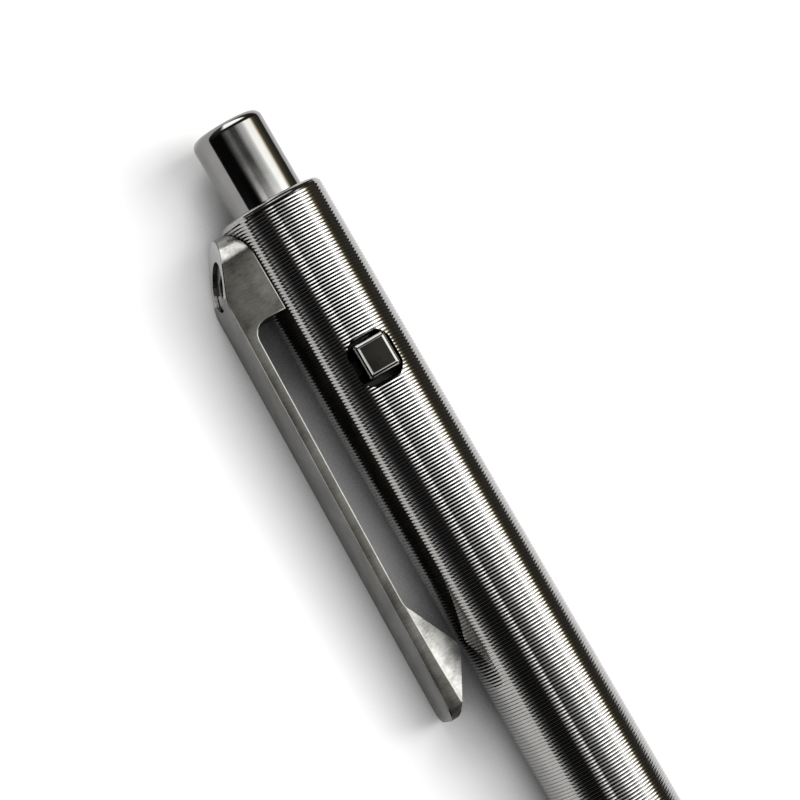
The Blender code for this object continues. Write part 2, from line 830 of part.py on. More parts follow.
def make_refill():
    spigot = refill_bore_radius - SEAT_GAP
    cap_end = refill_rear + REFILL_CAP_LENGTH
    cap_spigot_end = cap_end + REFILL_CAP_SPIGOT
    turned(
        "refill_end_cap",
        refill_rear,
        [
            (refill_rear, 0, 0),
            (refill_rear, REFILL_RADIUS, 0),
            (cap_end, REFILL_RADIUS, 0),
            (cap_end, spigot, 0),
            (cap_spigot_end, spigot, 0),
            (cap_spigot_end, 0, 0),
        ],
        plastic,
        closed=False,
    )
    tube_start = cap_end + SEAT_GAP
    tube_end = flange_start - SEAT_GAP
    turned(
        "refill_tube",
        tube_start,
        [
            (tube_start, refill_bore_radius, 0),
            (tube_start, REFILL_RADIUS, 0),
            (tube_end, REFILL_RADIUS, 0),
            (tube_end, refill_bore_radius, 0),
        ],
        steel,
    )
    shank_start = flange_start - POINT_SHANK
    turned(
        "ink_column",
        cap_spigot_end + SEAT_GAP,
        [
            (cap_spigot_end + SEAT_GAP, 0, 0),
            (cap_spigot_end + SEAT_GAP, spigot, 0),
            (shank_start - SEAT_GAP, spigot, 0),
            (shank_start - SEAT_GAP, 0, 0),
        ],
        ink,
        closed=False,
    )
    ball_station = refill_point - BALL_RADIUS
    socket_start = ball_station - ball_socket_radius
    cone_start = point_end - TIP_CONE_LENGTH
    turned(
        "refill_tip",
        flange_end,
        [
            (shank_start, INK_BORE_RADIUS, 0),
            (shank_start, spigot, 0),
            (flange_start, spigot, 0),
            (flange_start, REFILL_RADIUS, 0),
            (flange_end, REFILL_RADIUS, 0),
            (flange_end, NECK_RADIUS, 0),
            (flange_end + NECK_LENGTH, NECK_RADIUS, 0),
            (flange_end + NECK_LENGTH, TIP_TUBE_RADIUS, 0),
            (cone_start, TIP_TUBE_RADIUS, 0),
            (point_end, TIP_END_RADIUS, 0),
            (point_end, ball_socket_radius, 0),
            (socket_start, ball_socket_radius, 0),
            (socket_start, INK_BORE_RADIUS, 0),
        ],
        brass,
        HOLE_SIDES,
    )
    ball = bmesh.new()
    bmesh.ops.create_uvsphere(
        ball, u_segments=2 * BALL_RINGS, v_segments=BALL_RINGS, radius=BALL_RADIUS
    )
    mesh = bpy.data.meshes.new("writing_ball")
    ball.to_mesh(mesh)
    ball.free()
    place(bpy.data.objects.new("writing_ball", mesh), axial(ball_station), steel)


def nose_outline():
    # The straight grip, then a taper whose radius falls as a power of the way along it
    taper_start = barrel_end + NOSE_STRAIGHT
    taper = pen_end - taper_start
    drop = pen_radius - NOSE_END_RADIUS
    points = [
        (
            taper_start + taper * step / NOSE_STEPS,
            pen_radius - drop * (step / NOSE_STEPS) ** NOSE_FULLNESS,
            0,
        )
        for step in range(NOSE_STEPS)
    ]
    return [*points, (pen_end, NOSE_END_RADIUS, NOSE_END_ROUND)]


def make_nose():
    seam = barrel_end + SEAT_GAP
    groove_end = seam - O_RING_FROM_SEAM
    groove_start = groove_end - O_RING_GROOVE_LENGTH
    tip_bore = TIP_TUBE_RADIUS + RUNNING_GAP
    tip_bore_start = pen_end - NOSE_TIP_BORE_LENGTH
    neck_bore = NECK_RADIUS + RUNNING_GAP
    turned(
        "nose_section",
        barrel_end,
        [
            (spigot_start, nose_bore_radius, 0),
            (spigot_start, spigot_radius, SEAM_ROUND),
            (groove_start, spigot_radius, 0),
            (groove_start, o_ring_groove_radius, 0),
            (groove_end, o_ring_groove_radius, 0),
            (groove_end, spigot_radius, 0),
            (seam, spigot_radius, 0),
            (seam, pen_radius, SEAM_ROUND),
            *nose_outline(),
            (pen_end, tip_bore, 0),
            (tip_bore_start, tip_bore, 0),
            (tip_bore_start, neck_bore, 0),
            (nose_shoulder, neck_bore, 0),
            (nose_shoulder, nose_bore_radius, 0),
        ],
        titanium,
        BODY_SIDES,
    )
    o_ring_radius = (spigot_bore_radius + o_ring_groove_radius) / 2
    middle = (groove_start + groove_end) / 2
    ring("nose_o_ring", middle, o_ring_radius, O_RING_WIRE_RADIUS, rubber, BODY_SIDES)
    washer_end = nose_shoulder - SEAT_GAP
    washer_start = washer_end - WASHER_THICKNESS
    turned(
        "spring_washer",
        washer_start,
        [
            (washer_start, neck_bore, 0),
            (washer_start, nose_bore_radius - RUNNING_GAP, 0),
            (washer_end, nose_bore_radius - RUNNING_GAP, 0),
            (washer_end, neck_bore, 0),
        ],
        steel,
    )
    coil(
        "return_spring",
        frame_at((flange_end + SEAT_GAP, 0, 0), (0, 1, 0), (0, 0, 1)),
        RETURN_SPRING_RADIUS,
        RETURN_SPRING_WIRE_RADIUS,
        washer_start - flange_end - 2 * SEAT_GAP,
        RETURN_SPRING_TURNS,
        steel,
    )


def settle(piece):
    # The finished mesh in place of its modifiers, smooth except at its sharp edges
    evaluated = piece.evaluated_get(bpy.context.evaluated_depsgraph_get())
    mesh = bpy.data.meshes.new_from_object(evaluated)
    piece.modifiers.clear()
    piece.data = mesh
    mesh.shade_smooth()
    mesh.set_sharp_from_angle(angle=SHARP_ANGLE)


make_barrel()
make_clip()
make_clip_screw()
make_plunger()
make_housing()
make_latch()
make_refill()
make_nose()
bpy.context.view_layer.update()
for piece in [item for item in pen_parts.objects if item.type == "MESH"]:
    settle(piece)
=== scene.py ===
import json
import math

import bmesh
import bpy
import numpy as np
from mathutils import Matrix, Vector


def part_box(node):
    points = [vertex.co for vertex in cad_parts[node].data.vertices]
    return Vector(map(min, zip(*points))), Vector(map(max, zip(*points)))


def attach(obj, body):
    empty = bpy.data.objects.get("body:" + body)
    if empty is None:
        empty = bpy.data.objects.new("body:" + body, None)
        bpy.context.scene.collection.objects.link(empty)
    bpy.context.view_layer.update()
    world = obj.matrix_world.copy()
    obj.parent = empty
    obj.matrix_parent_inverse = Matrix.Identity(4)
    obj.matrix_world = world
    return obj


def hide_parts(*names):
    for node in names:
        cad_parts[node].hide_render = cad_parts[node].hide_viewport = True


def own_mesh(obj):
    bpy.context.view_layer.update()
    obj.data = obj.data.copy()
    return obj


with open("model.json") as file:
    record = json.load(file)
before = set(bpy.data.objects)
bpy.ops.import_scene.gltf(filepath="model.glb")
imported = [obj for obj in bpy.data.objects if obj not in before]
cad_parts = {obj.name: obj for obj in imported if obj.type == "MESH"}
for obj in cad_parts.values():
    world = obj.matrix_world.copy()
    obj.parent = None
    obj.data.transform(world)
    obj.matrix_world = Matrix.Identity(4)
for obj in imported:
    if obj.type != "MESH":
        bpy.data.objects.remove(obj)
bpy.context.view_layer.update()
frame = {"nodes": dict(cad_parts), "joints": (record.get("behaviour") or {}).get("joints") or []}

print("loaded the pen's frame")

# The pen's own frame: stations run from the barrel's end face towards the nose, across is
# away from the clip and up is towards the release button
barrelLow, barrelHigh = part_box("barrel")
joints = {joint["name"]: joint for joint in frame["joints"]}
buttonAxis = joints["button_press"]["axis"]
pen = {
    "axisPlace": (
        barrelLow.x,
        (barrelLow.y + barrelHigh.y) / 2,
        (barrelLow.z + barrelHigh.z) / 2,
    ),
    "roll": math.atan2(buttonAxis[1], -buttonAxis[2]),
    "radius": (barrelHigh.y - barrelLow.y) / 2,
    "barrelEnd": barrelHigh.x - barrelLow.x,
}

# How near two points of a made grid or of a CAD solid are one point, how near two radii are
# one, within what angle triangles are one flat face, and from what angle an edge is sharp
limits = {
    "samePoint": 1e-7,
    "sameCadPoint": 2e-7,
    "sameRadius": 1e-6,
    "flatDegrees": 0.6,
    "sharpDegrees": 30,
}


# Turns points of the pen's own frame about its axis by the roll, and moves them to that axis
def toWorld(points):
    points = np.asarray(points, float)
    cosine, sine = math.cos(pen["roll"]), math.sin(pen["roll"])
    station, across, up = points[..., 0], points[..., 1], points[..., 2]
    placed = np.stack((station, across * cosine - up * sine, across * sine + up * cosine), -1)
    return placed + np.array(pen["axisPlace"])


# A direction of the pen's own frame, turned but not moved
def direction(vector):
    return toWorld(vector) - toWorld([0, 0, 0])


# An object from a mesh, with smooth faces between edges that are sharp from an angle on
def meshObject(name, mesh, materials, sharpDegrees=limits["sharpDegrees"]):
    for material in materials:
        mesh.materials.append(material)
    mesh.shade_smooth()
    mesh.set_sharp_from_angle(angle=math.radians(sharpDegrees))
    piece = bpy.data.objects.new(name, mesh)
    bpy.context.scene.collection.objects.link(piece)
    return piece


# A grid of points, rows by columns, joined into quads; columns always close on themselves
# and rows do too when the profile is a ring, while a row on the axis becomes one point
def gridMesh(name, grid, ringProfile):
    rows, columns = grid.shape[:2]
    index = np.arange(rows * columns).reshape(rows, columns)
    if ringProfile:
        index = np.vstack((index, index[:1]))
    near, far = index[:-1], index[1:]
    quads = np.stack((near, np.roll(near, -1, 1), np.roll(far, -1, 1), far), -1).reshape(-1, 4)
    mesh = bpy.data.meshes.new(name)
    mesh.vertices.add(rows * columns)
    mesh.vertices.foreach_set("co", grid.reshape(-1).astype(np.float32))
    mesh.loops.add(quads.size)
    mesh.loops.foreach_set("vertex_index", quads.reshape(-1).astype(np.int32))
    mesh.polygons.add(len(quads))
    mesh.polygons.foreach_set("loop_start", np.arange(0, quads.size, 4, dtype=np.int32))
    mesh.update(calc_edges=True)
    shape = bmesh.new()
    shape.from_mesh(mesh)
    if not ringProfile:
        bmesh.ops.remove_doubles(shape, verts=shape.verts, dist=limits["samePoint"])
    bmesh.ops.recalc_face_normals(shape, faces=shape.faces)
    shape.to_mesh(mesh)
    shape.free()
    return mesh


# A turned surface: station and radius along the profile, carried round the pen's axis, so
# that a point is (station, radius * sin(angle), radius * cos(angle)); bite is taken off the
# radius at each station and angle
def turned(name, profile, columns, ringProfile=True, bite=None):
    stations, radii = np.asarray(profile, float).T
    angle = np.arange(columns) * 2 * np.pi / columns
    radius = np.repeat(radii[:, None], columns, 1)
    if bite is not None:
        radius = radius - bite(stations[:, None], radii[:, None], angle[None, :])
    station = np.repeat(stations[:, None], columns, 1)
    grid = np.stack((station, radius * np.sin(angle), radius * np.cos(angle)), -1)
    return gridMesh(name, toWorld(grid), ringProfile)


# Points of an arc between two directions: the centre plus radius * (cos(angle), sin(angle))
def arc(centre, radius, startDegrees, endDegrees, steps):
    angle = np.radians(np.linspace(startDegrees, endDegrees, steps))
    return np.column_stack((centre[0] + radius * np.cos(angle), centre[1] + radius * np.sin(angle)))


# A node whose inputs, or else whose own settings, have the given values
def addNode(tree, kind, **values):
    node = tree.nodes.new(kind)
    for key, value in values.items():
        if key in node.inputs:
            node.inputs[key].default_value = value
        else:
            setattr(node, key, value)
    return node


# Gives an input either a link from another node's output or a constant
def feed(tree, socket, value):
    if isinstance(value, bpy.types.NodeSocket):
        tree.links.new(value, socket)
    else:
        socket.default_value = value


# The result of a math node, whose operands are other nodes' outputs or numbers
def mathNode(tree, operation, *operands):
    node = addNode(tree, "ShaderNodeMath", operation=operation)
    for socket, operand in zip(node.inputs, operands):
        feed(tree, socket, operand)
    return node.outputs[0]


# From first to second as the factor goes from 0 to 1, for numbers or for colours
def mixNode(tree, kind, factor, first, second):
    node = addNode(tree, "ShaderNodeMix", data_type=kind)
    for socket, value in (("Factor", factor), ("A", first), ("B", second)):
        feed(tree, node.inputs[socket], value)
    return node.outputs["Result"]


# How far a value is along a span, from 0 to 1
def shareNode(tree, value, span, **values):
    node = addNode(tree, "ShaderNodeMapRange", **values)
    node.inputs["From Min"].default_value, node.inputs["From Max"].default_value = span
    tree.links.new(value, node.inputs["Value"])
    return node.outputs["Result"]


# The noise of the tool marks: the marks' share is added to the clouds, the sum is scaled
# back to 1 at most, and the span is what of it goes from dark to light
toolNoise = {
    "detail": 3.0,
    "markRoughness": 0.6,
    "cloudScale": 420.0,
    "cloudRoughness": 0.55,
    "markShare": 0.6,
    "sumScale": 0.625,
    "span": (0.3, 0.7),
}


# Marks that a tool leaves: noise on the object's own coordinates, stretched by unlike scales
# along the pen and across it, plus clouds of even noise, given out as a height, a roughness
# and a tint
def makeToolMarks():
    group = bpy.data.node_groups.new("toolMarks", "ShaderNodeTree")
    for name, way, kind in (
        ("Along", "INPUT", "NodeSocketFloat"),
        ("Across", "INPUT", "NodeSocketFloat"),
        ("Rough Low", "INPUT", "NodeSocketFloat"),
        ("Rough High", "INPUT", "NodeSocketFloat"),
        ("Dark", "INPUT", "NodeSocketColor"),
        ("Light", "INPUT", "NodeSocketColor"),
        ("Height", "OUTPUT", "NodeSocketFloat"),
        ("Roughness", "OUTPUT", "NodeSocketFloat"),
        ("Tint", "OUTPUT", "NodeSocketColor"),
    ):
        group.interface.new_socket(name, in_out=way, socket_type=kind)
    entry = group.nodes.new("NodeGroupInput")
    leave = group.nodes.new("NodeGroupOutput")
    place = group.nodes.new("ShaderNodeTexCoord")
    scale = group.nodes.new("ShaderNodeCombineXYZ")
    stretch = addNode(group, "ShaderNodeVectorMath", operation="MULTIPLY")
    marks = addNode(
        group, "ShaderNodeTexNoise",
        Scale=1.0, Detail=toolNoise["detail"], Roughness=toolNoise["markRoughness"],
    )
    clouds = addNode(
        group, "ShaderNodeTexNoise",
        Scale=toolNoise["cloudScale"],
        Detail=toolNoise["detail"],
        Roughness=toolNoise["cloudRoughness"],
    )
    link = group.links.new
    link(entry.outputs["Along"], scale.inputs["X"])
    link(entry.outputs["Across"], scale.inputs["Y"])
    link(entry.outputs["Across"], scale.inputs["Z"])
    link(place.outputs["Object"], stretch.inputs[0])
    link(scale.outputs["Vector"], stretch.inputs[1])
    link(stretch.outputs["Vector"], marks.inputs["Vector"])
    link(place.outputs["Object"], clouds.inputs["Vector"])
    both = mathNode(
        group, "MULTIPLY_ADD", marks.outputs["Fac"], toolNoise["markShare"], clouds.outputs["Fac"]
    )
    scaled = mathNode(group, "MULTIPLY", both, toolNoise["sumScale"])
    level = shareNode(group, scaled, toolNoise["span"])
    rough = group.nodes.new("ShaderNodeMapRange")
    link(level, rough.inputs["Value"])
    link(entry.outputs["Rough Low"], rough.inputs["To Min"])
    link(entry.outputs["Rough High"], rough.inputs["To Max"])
    tint = mixNode(group, "RGBA", level, entry.outputs["Dark"], entry.outputs["Light"])
    link(marks.outputs["Fac"], leave.inputs["Height"])
    link(rough.outputs["Result"], leave.inputs["Roughness"])
    link(tint, leave.inputs["Tint"])
    return group


toolMarks = makeToolMarks()


# A material whose colour, roughness and bump come from the tool marks
def finish(name, dark, light, rough, metallic, along, across, depth=0.0):
    material = bpy.data.materials.new(name)
    material.use_nodes = True
    tree = material.node_tree
    shader = tree.nodes["Principled BSDF"]
    shader.inputs["Metallic"].default_value = metallic
    marks = tree.nodes.new("ShaderNodeGroup")
    marks.node_tree = toolMarks
    for socket, value in (
        ("Along", along),
        ("Across", across),
        ("Rough Low", rough[0]),
        ("Rough High", rough[1]),
        ("Dark", (*dark, 1)),
        ("Light", (*light, 1)),
    ):
        marks.inputs[socket].default_value = value
    tree.links.new(marks.outputs["Tint"], shader.inputs["Base Color"])
    tree.links.new(marks.outputs["Roughness"], shader.inputs["Roughness"])
    if depth:
        bump = addNode(tree, "ShaderNodeBump", Distance=depth, Strength=1.0)
        tree.links.new(marks.outputs["Height"], bump.inputs["Height"])
        tree.links.new(bump.outputs["Normal"], shader.inputs["Normal"])
    return material


# Each finish by its darkest and lightest colour, the span of its roughness, its share of
# metal, its marks' scale along the pen and across it, and the depth of its bump
finishRows = {
    "groovedTitanium": (
        (0.345, 0.34, 0.33), (0.395, 0.39, 0.38), (0.03, 0.065), 1.0, 12000, 500, 4e-7,
    ),
    "smoothTitanium": (
        (0.225, 0.223, 0.216), (0.255, 0.253, 0.245), (0.04, 0.08), 1.0, 250, 2600, 1.2e-6,
    ),
    # The clip's titanium, from here down to the rounds, comes in lit and shaded copies: the milled
    # sides are painted dark, the facet, the flanks and the rounds are painted light, the outer
    # faces sit between, and the rubbed band is lighter, partly wear and partly a painted highlight
    "milledTitanium": (
        (0.026, 0.025, 0.022), (0.13, 0.127, 0.114), (0.4, 0.54), 1.0, 9000, 1300, 6e-6,
    ),
    "outerTitanium": (
        (0.13, 0.128, 0.122), (0.28, 0.277, 0.265), (0.36, 0.5), 1.0, 9000, 1300, 4e-6,
    ),
    "rubbedAndHighlitTitanium": (
        (0.085, 0.084, 0.079), (0.165, 0.163, 0.153), (0.16, 0.24), 1.0, 3000, 900, 1e-6,
    ),
    "facetTitanium": (
        (0.50, 0.50, 0.49), (0.66, 0.66, 0.65), (0.12, 0.2), 1.0, 900, 3000, 5e-7,
    ),
    "flankTitanium": (
        (0.14, 0.138, 0.13), (0.66, 0.655, 0.63), (0.4, 0.52), 1.0, 7000, 1500, 4e-6,
    ),
    "roundTitanium": (
        (0.07, 0.068, 0.063), (0.33, 0.327, 0.31), (0.16, 0.28), 1.0, 4000, 1500, 3e-6,
    ),
    # the button's steel in two copies: a near-black one that paints the dark its top reflects, and
    # a lighter one on its rounded rim, partly rubbed wear and partly a painted highlight
    "darkSteel": (
        (0.0055, 0.0051, 0.0043), (0.0105, 0.0098, 0.0084), (0.10, 0.18), 1.0, 3000, 3000, 4e-7,
    ),
    "rubbedAndHighlitSteel": (
        (0.14, 0.14, 0.133), (0.22, 0.22, 0.21), (0.08, 0.14), 1.0, 3000, 3000, 3e-7,
    ),
    "brightSteel": (
        (0.36, 0.36, 0.36), (0.46, 0.46, 0.46), (0.18, 0.3), 1.0, 6000, 900, 5e-7,
    ),
    "socketSteel": (
        (0.16, 0.155, 0.15), (0.24, 0.235, 0.225), (0.2, 0.32), 1.0, 4000, 4000, 1e-6,
    ),
    "turnedBrass": (
        (0.58, 0.42, 0.18), (0.72, 0.54, 0.26), (0.2, 0.32), 1.0, 8000, 500, 5e-7,
    ),
    "blackMetal": (
        (0.012, 0.012, 0.011), (0.025, 0.024, 0.022), (0.3, 0.45), 1.0, 5000, 900, 5e-7,
    ),
    "blackRubber": (
        (0.015, 0.015, 0.015), (0.03, 0.03, 0.03), (0.6, 0.75), 0.0, 3000, 3000, 2e-6,
    ),
    "mouldedPlastic": (
        (0.03, 0.03, 0.03), (0.05, 0.05, 0.05), (0.35, 0.5), 0.0, 3000, 3000, 1e-6,
    ),
    "penInk": ((0.006, 0.01, 0.05), (0.01, 0.018, 0.07), (0.15, 0.25), 0.0, 2000, 2000),
}
finishes = {name: finish(name, *row) for name, row in finishRows.items()}
print("made the finishes")

barrel = {
    "crown": 0.0007,
    "rimStations": (0, 0.00004, 0.00008),
    "endChamfer": 0.0001,
    "plungerHole": 0.00388,
    "plungerHoleDepth": 0.0081,
    "bore": 0.0042,
    "spigotBore": 0.0046,
    "spigotStart": 0.0804,
    "columns": 80,
    "sharpDegrees": 25,
    "groovePitch": 0.000338,
    "grooveDepth": 0.00007,
    "grooveShares": (0.0, 0.21, 0.42, 0.85),
    "grooveBites": (0.01, 0.0, 0.01, 1.0),
    "grooveStart": 0.00012,
    "grooveMargin": 0.00030,
}


# Stations and bites of the grooves: one pitch after another, each a land with a slight crown,
# a long flank that slants down towards the nose and a short steep one that comes back up,
# given as shares of the pitch and of the depth
def grooves(start, end):
    count = int((end - start) / barrel["groovePitch"])
    first = start + np.arange(count)[:, None] * barrel["groovePitch"]
    stations = first + np.array(barrel["grooveShares"])[None, :] * barrel["groovePitch"]
    bites = np.tile(barrel["grooveBites"], (count, 1)) * barrel["grooveDepth"]
    last = start + count * barrel["groovePitch"]
    return np.append(stations.reshape(-1), last), np.append(bites.reshape(-1), 0.0)


# The barrel's skin: its radius, less the crown's quarter circle near the end face
def skinRadius(station):
    inward = np.clip(barrel["crown"] - station, 0, barrel["crown"])
    return pen["radius"] - barrel["crown"] + np.sqrt(barrel["crown"] ** 2 - inward**2)


# The barrel's profile: down over the grooved skin, and back up through the spigot's bore, the
# bore and the plunger's hole
def makeBarrel():
    end, radius, chamfer = pen["barrelEnd"], pen["radius"], barrel["endChamfer"]
    cut, bites = grooves(barrel["grooveStart"], end - barrel["grooveMargin"])
    rim = np.array(barrel["rimStations"])
    stations = np.append(rim, cut)
    radii = skinRadius(stations)
    radii[len(rim):] -= bites
    profile = np.vstack(
        (
            [(0, barrel["plungerHole"])],
            np.column_stack((stations, radii)),
            [(end - chamfer, radius), (end, radius - chamfer)],
            [(end, barrel["spigotBore"]), (barrel["spigotStart"], barrel["spigotBore"])],
            [(barrel["spigotStart"], barrel["bore"])],
            [(barrel["plungerHoleDepth"], barrel["bore"])],
            [(barrel["plungerHoleDepth"], barrel["plungerHole"])],
        )
    )
    return turned("barrel_skin", profile, barrel["columns"])


window = {
    "station": 0.0181,
    "halfLength": 0.00225,
    "halfWidth": 0.00235,
    "corner": 0.0012,
    "chamfer": 0.0004,
    "overrun": 0.001,
    "cornerSteps": 9,
}


# A rectangle with round corners: four quarter circles about the corners' centres
def roundedRectangle(halfLength, halfWidth, corner, steps):
    quarters = []
    for turn, (right, top) in enumerate(((1, 1), (-1, 1), (-1, -1), (1, -1))):
        centre = (right * (halfLength - corner), top * (halfWidth - corner))
        quarters.append(arc(centre, corner, 90 * turn, 90 * turn + 90, steps))
    return np.vstack(quarters)


# An outline about a place of the pen's own frame, all at one height over the pen's axis
def ringAt(station, across, outline, height):
    heights = np.full(len(outline), height)
    return toWorld(np.column_stack((station + outline[:, 0], across + outline[:, 1], heights)))


# A closed loft through rings of points, with a flat face over each end
def loft(name, rings):
    rings = np.asarray(rings)
    count = rings.shape[1]
    mesh = bpy.data.meshes.new(name)
    faces = []
    for level in range(len(rings) - 1):
        low = np.arange(count) + level * count
        high = low + count
        faces += np.stack((low, np.roll(low, -1), np.roll(high, -1), high), -1).tolist()
    faces.append(list(range(count))[::-1])
    faces.append(list(range((len(rings) - 1) * count, len(rings) * count)))
    mesh.from_pydata(rings.reshape(-1, 3).tolist(), [], faces)
    shape = bmesh.new()
    shape.from_mesh(mesh)
    bmesh.ops.recalc_face_normals(shape, faces=shape.faces)
    shape.to_mesh(mesh)
    shape.free()
    return mesh


# The window's cutter: its outline straight up through the wall, then growing by its own rise
def windowCutter():
    rings = []
    for grown, height in (
        (0.0, barrel["bore"] / 2),
        (0.0, pen["radius"] - window["chamfer"]),
        (window["chamfer"] + window["overrun"], pen["radius"] + window["overrun"]),
    ):
        outline = roundedRectangle(
            window["halfLength"] + grown,
            window["halfWidth"] + grown,
            window["corner"] + grown,
            window["cornerSteps"],
        )
        rings.append(ringAt(window["station"], 0, outline, height))
    return loft("window_cutter", rings)


# The mesh that is left of a piece when a cutter is taken from it
def cutMesh(mesh, cutter):
    host = bpy.data.objects.new("host", mesh)
    tool = bpy.data.objects.new("tool", cutter)
    for item in (host, tool):
        bpy.context.scene.collection.objects.link(item)
    cut = host.modifiers.new("cut", "BOOLEAN")
    cut.operation = "DIFFERENCE"
    cut.solver = "MANIFOLD"
    cut.object = tool
    graph = bpy.context.evaluated_depsgraph_get()
    result = bpy.data.meshes.new_from_object(host.evaluated_get(graph))
    result.materials.clear()
    for item in (host, tool):
        bpy.data.objects.remove(item)
    return result


barrelSkin = meshObject(
    "barrel_skin",
    cutMesh(makeBarrel(), windowCutter()),
    [finishes["groovedTitanium"]],
    barrel["sharpDegrees"],
)
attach(barrelSkin, "barrel")
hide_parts("barrel")
print("turned the barrel,", len(barrelSkin.data.polygons), "faces")

nose = {
    "spigotStart": 0.0805,
    "spigotRadius": 0.0045,
    "spigotChamfer": 0.0002,
    "bore": 0.0032,
    "threadStart": 0.0812,
    "threadEnd": 0.0855,
    "threadPitch": 0.00075,
    "threadDepth": 0.00028,
    "threadFade": 0.0003,
    "threadRows": 60,
    "ringGroove": (0.0860, 0.0872),
    "ringGrooveRadius": 0.0038,
    "seam": 0.0881,
    "seamChamfer": 0.0001,
    "straightEnd": 0.108,
    "end": 0.127,
    "endRadius": 0.0017,
    "endRound": 0.0004,
    "endSteps": 6,
    "fullness": 1.6,
    "groovesEnd": 0.1135,
    "taperRows": 40,
    "tipBore": 0.00125,
    "tipBoreStart": 0.120,
    "neckBore": 0.0017,
    "shoulder": 0.1149,
}


# The nose's skin: straight, then a radius that falls as a power of the way along the taper
def noseRadius(station):
    way = np.clip((station - nose["straightEnd"]) / (nose["end"] - nose["straightEnd"]), 0, 1)
    return pen["radius"] - (pen["radius"] - nose["endRadius"]) * way ** nose["fullness"]


# A helical thread: the bite rises and falls as a triangle of the place within one turn, and
# fades out at both ends
def threadBite(station, radius, angle):
    place = station / nose["threadPitch"] - angle / (2 * np.pi)
    depth = nose["threadDepth"] * (1 - np.abs(2 * (place % 1) - 1))
    fade = np.clip((station - nose["threadStart"]) / nose["threadFade"], 0, 1)
    fade = fade * np.clip((nose["threadEnd"] - station) / nose["threadFade"], 0, 1)
    onSpigot = radius > nose["spigotRadius"] - limits["sameRadius"]
    return depth * fade * onSpigot * (station < nose["threadEnd"])


# The nose's profile: the threaded spigot with the groove of its rubber ring, the grooved skin
# and the taper, the rounded end, and back up through the bores
def makeNose():
    cut, bites = grooves(nose["seam"] + barrel["grooveMargin"], nose["groovesEnd"])
    skin = np.column_stack((cut, noseRadius(cut) - bites))
    roundStart = nose["end"] - nose["endRound"]
    rest = np.linspace(cut[-1], roundStart, nose["taperRows"])[1:]
    taper = np.column_stack((rest, noseRadius(rest)))
    edgeCentre = (roundStart, noseRadius(rest[-1]) - nose["endRound"])
    edge = arc(edgeCentre, nose["endRound"], 90, 0, nose["endSteps"])
    thread = np.linspace(nose["threadStart"], nose["threadEnd"], nose["threadRows"])
    spigot, chamfer = nose["spigotRadius"], nose["spigotChamfer"]
    ringStart, ringEnd = nose["ringGroove"]
    profile = np.vstack(
        (
            [(nose["spigotStart"], nose["bore"]), (nose["spigotStart"], spigot - chamfer)],
            [(nose["spigotStart"] + chamfer, spigot)],
            np.column_stack((thread, np.full(len(thread), spigot))),
            [(ringStart, spigot), (ringStart, nose["ringGrooveRadius"])],
            [(ringEnd, nose["ringGrooveRadius"]), (ringEnd, spigot)],
            [(nose["seam"], spigot), (nose["seam"], pen["radius"] - nose["seamChamfer"])],
            [(nose["seam"] + nose["seamChamfer"], pen["radius"])],
            skin,
            taper,
            edge[1:],
            [(nose["end"], nose["tipBore"]), (nose["tipBoreStart"], nose["tipBore"])],
            [(nose["tipBoreStart"], nose["neckBore"]), (nose["shoulder"], nose["neckBore"])],
            [(nose["shoulder"], nose["bore"])],
        )
    )
    return turned("nose_skin", profile, barrel["columns"], bite=threadBite)


noseSkin = meshObject(
    "nose_skin", makeNose(), [finishes["groovedTitanium"]], barrel["sharpDegrees"]
)
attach(noseSkin, "nose")
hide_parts("nose_section")
print("turned the nose,", len(noseSkin.data.polygons), "faces")

plungerLow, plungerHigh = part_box("plunger_cap")
plunger = {
    "top": plungerLow.x - barrelLow.x,
    "foot": plungerHigh.x - barrelLow.x,
    "radius": (plungerHigh.y - plungerLow.y) / 2,
    "topRound": 0.0009,
    "topSteps": 12,
    "footRound": 0.0003,
    "footSteps": 6,
    "roundMargin": 0.0001,
    "stemHole": 0.0017,
    "stemHoleTop": -0.0037,
    "columns": 96,
}


# The plunger: a flat end, a quarter circle, a straight side and a small round foot, with
# the hole that its stem is pressed into
def makePlunger():
    top, foot, radius = plunger["top"], plunger["foot"], plunger["radius"]
    topRound, footRound = plunger["topRound"], plunger["footRound"]
    margin = plunger["roundMargin"]
    crown = arc((top + topRound, radius - topRound), topRound, 180, 90, plunger["topSteps"])
    skirt = arc((foot - footRound, radius - footRound), footRound, 90, 0, plunger["footSteps"])
    profile = np.vstack(
        (
            [(top, 0), (top, radius / 2)],
            crown,
            [(top + topRound + margin, radius), (foot - footRound - margin, radius)],
            skirt,
            [(foot, plunger["stemHole"]), (plunger["stemHoleTop"], plunger["stemHole"])],
            [(plunger["stemHoleTop"], 0)],
        )
    )
    return turned("plunger_skin", profile, plunger["columns"], ringProfile=False)


plungerSkin = meshObject("plunger_skin", makePlunger(), [finishes["smoothTitanium"]])
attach(plungerSkin, "plunger")
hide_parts("plunger_cap")
print("turned the plunger")


# A copy of a solid's mesh, whose triangles are merged and whose flat regions are joined
def joinedMesh(node, name):
    mesh = frame["nodes"][node].data.copy()
    mesh.name = name
    mesh.materials.clear()
    shape = bmesh.new()
    shape.from_mesh(mesh)
    bmesh.ops.remove_doubles(shape, verts=shape.verts, dist=limits["sameCadPoint"])
    flat = math.radians(limits["flatDegrees"])
    bmesh.ops.dissolve_limit(shape, angle_limit=flat, verts=shape.verts, edges=shape.edges)
    return mesh, shape


# A piece from such a mesh, each of its sharp edges broken by a narrow rounded chamfer
def brokenEdges(node, name, shape, mesh, width, materials, body):
    shape.to_mesh(mesh)
    shape.free()
    if mesh.has_custom_normals:
        mesh.attributes.remove(mesh.attributes["custom_normal"])
    piece = meshObject(name, mesh, materials)
    bevel = piece.modifiers.new("broken edges", "BEVEL")
    bevel.width = width
    bevel.segments = 2
    bevel.limit_method = "ANGLE"
    bevel.angle_limit = math.radians(limits["sharpDegrees"])
    bevel.harden_normals = True
    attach(piece, body)
    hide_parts(node)


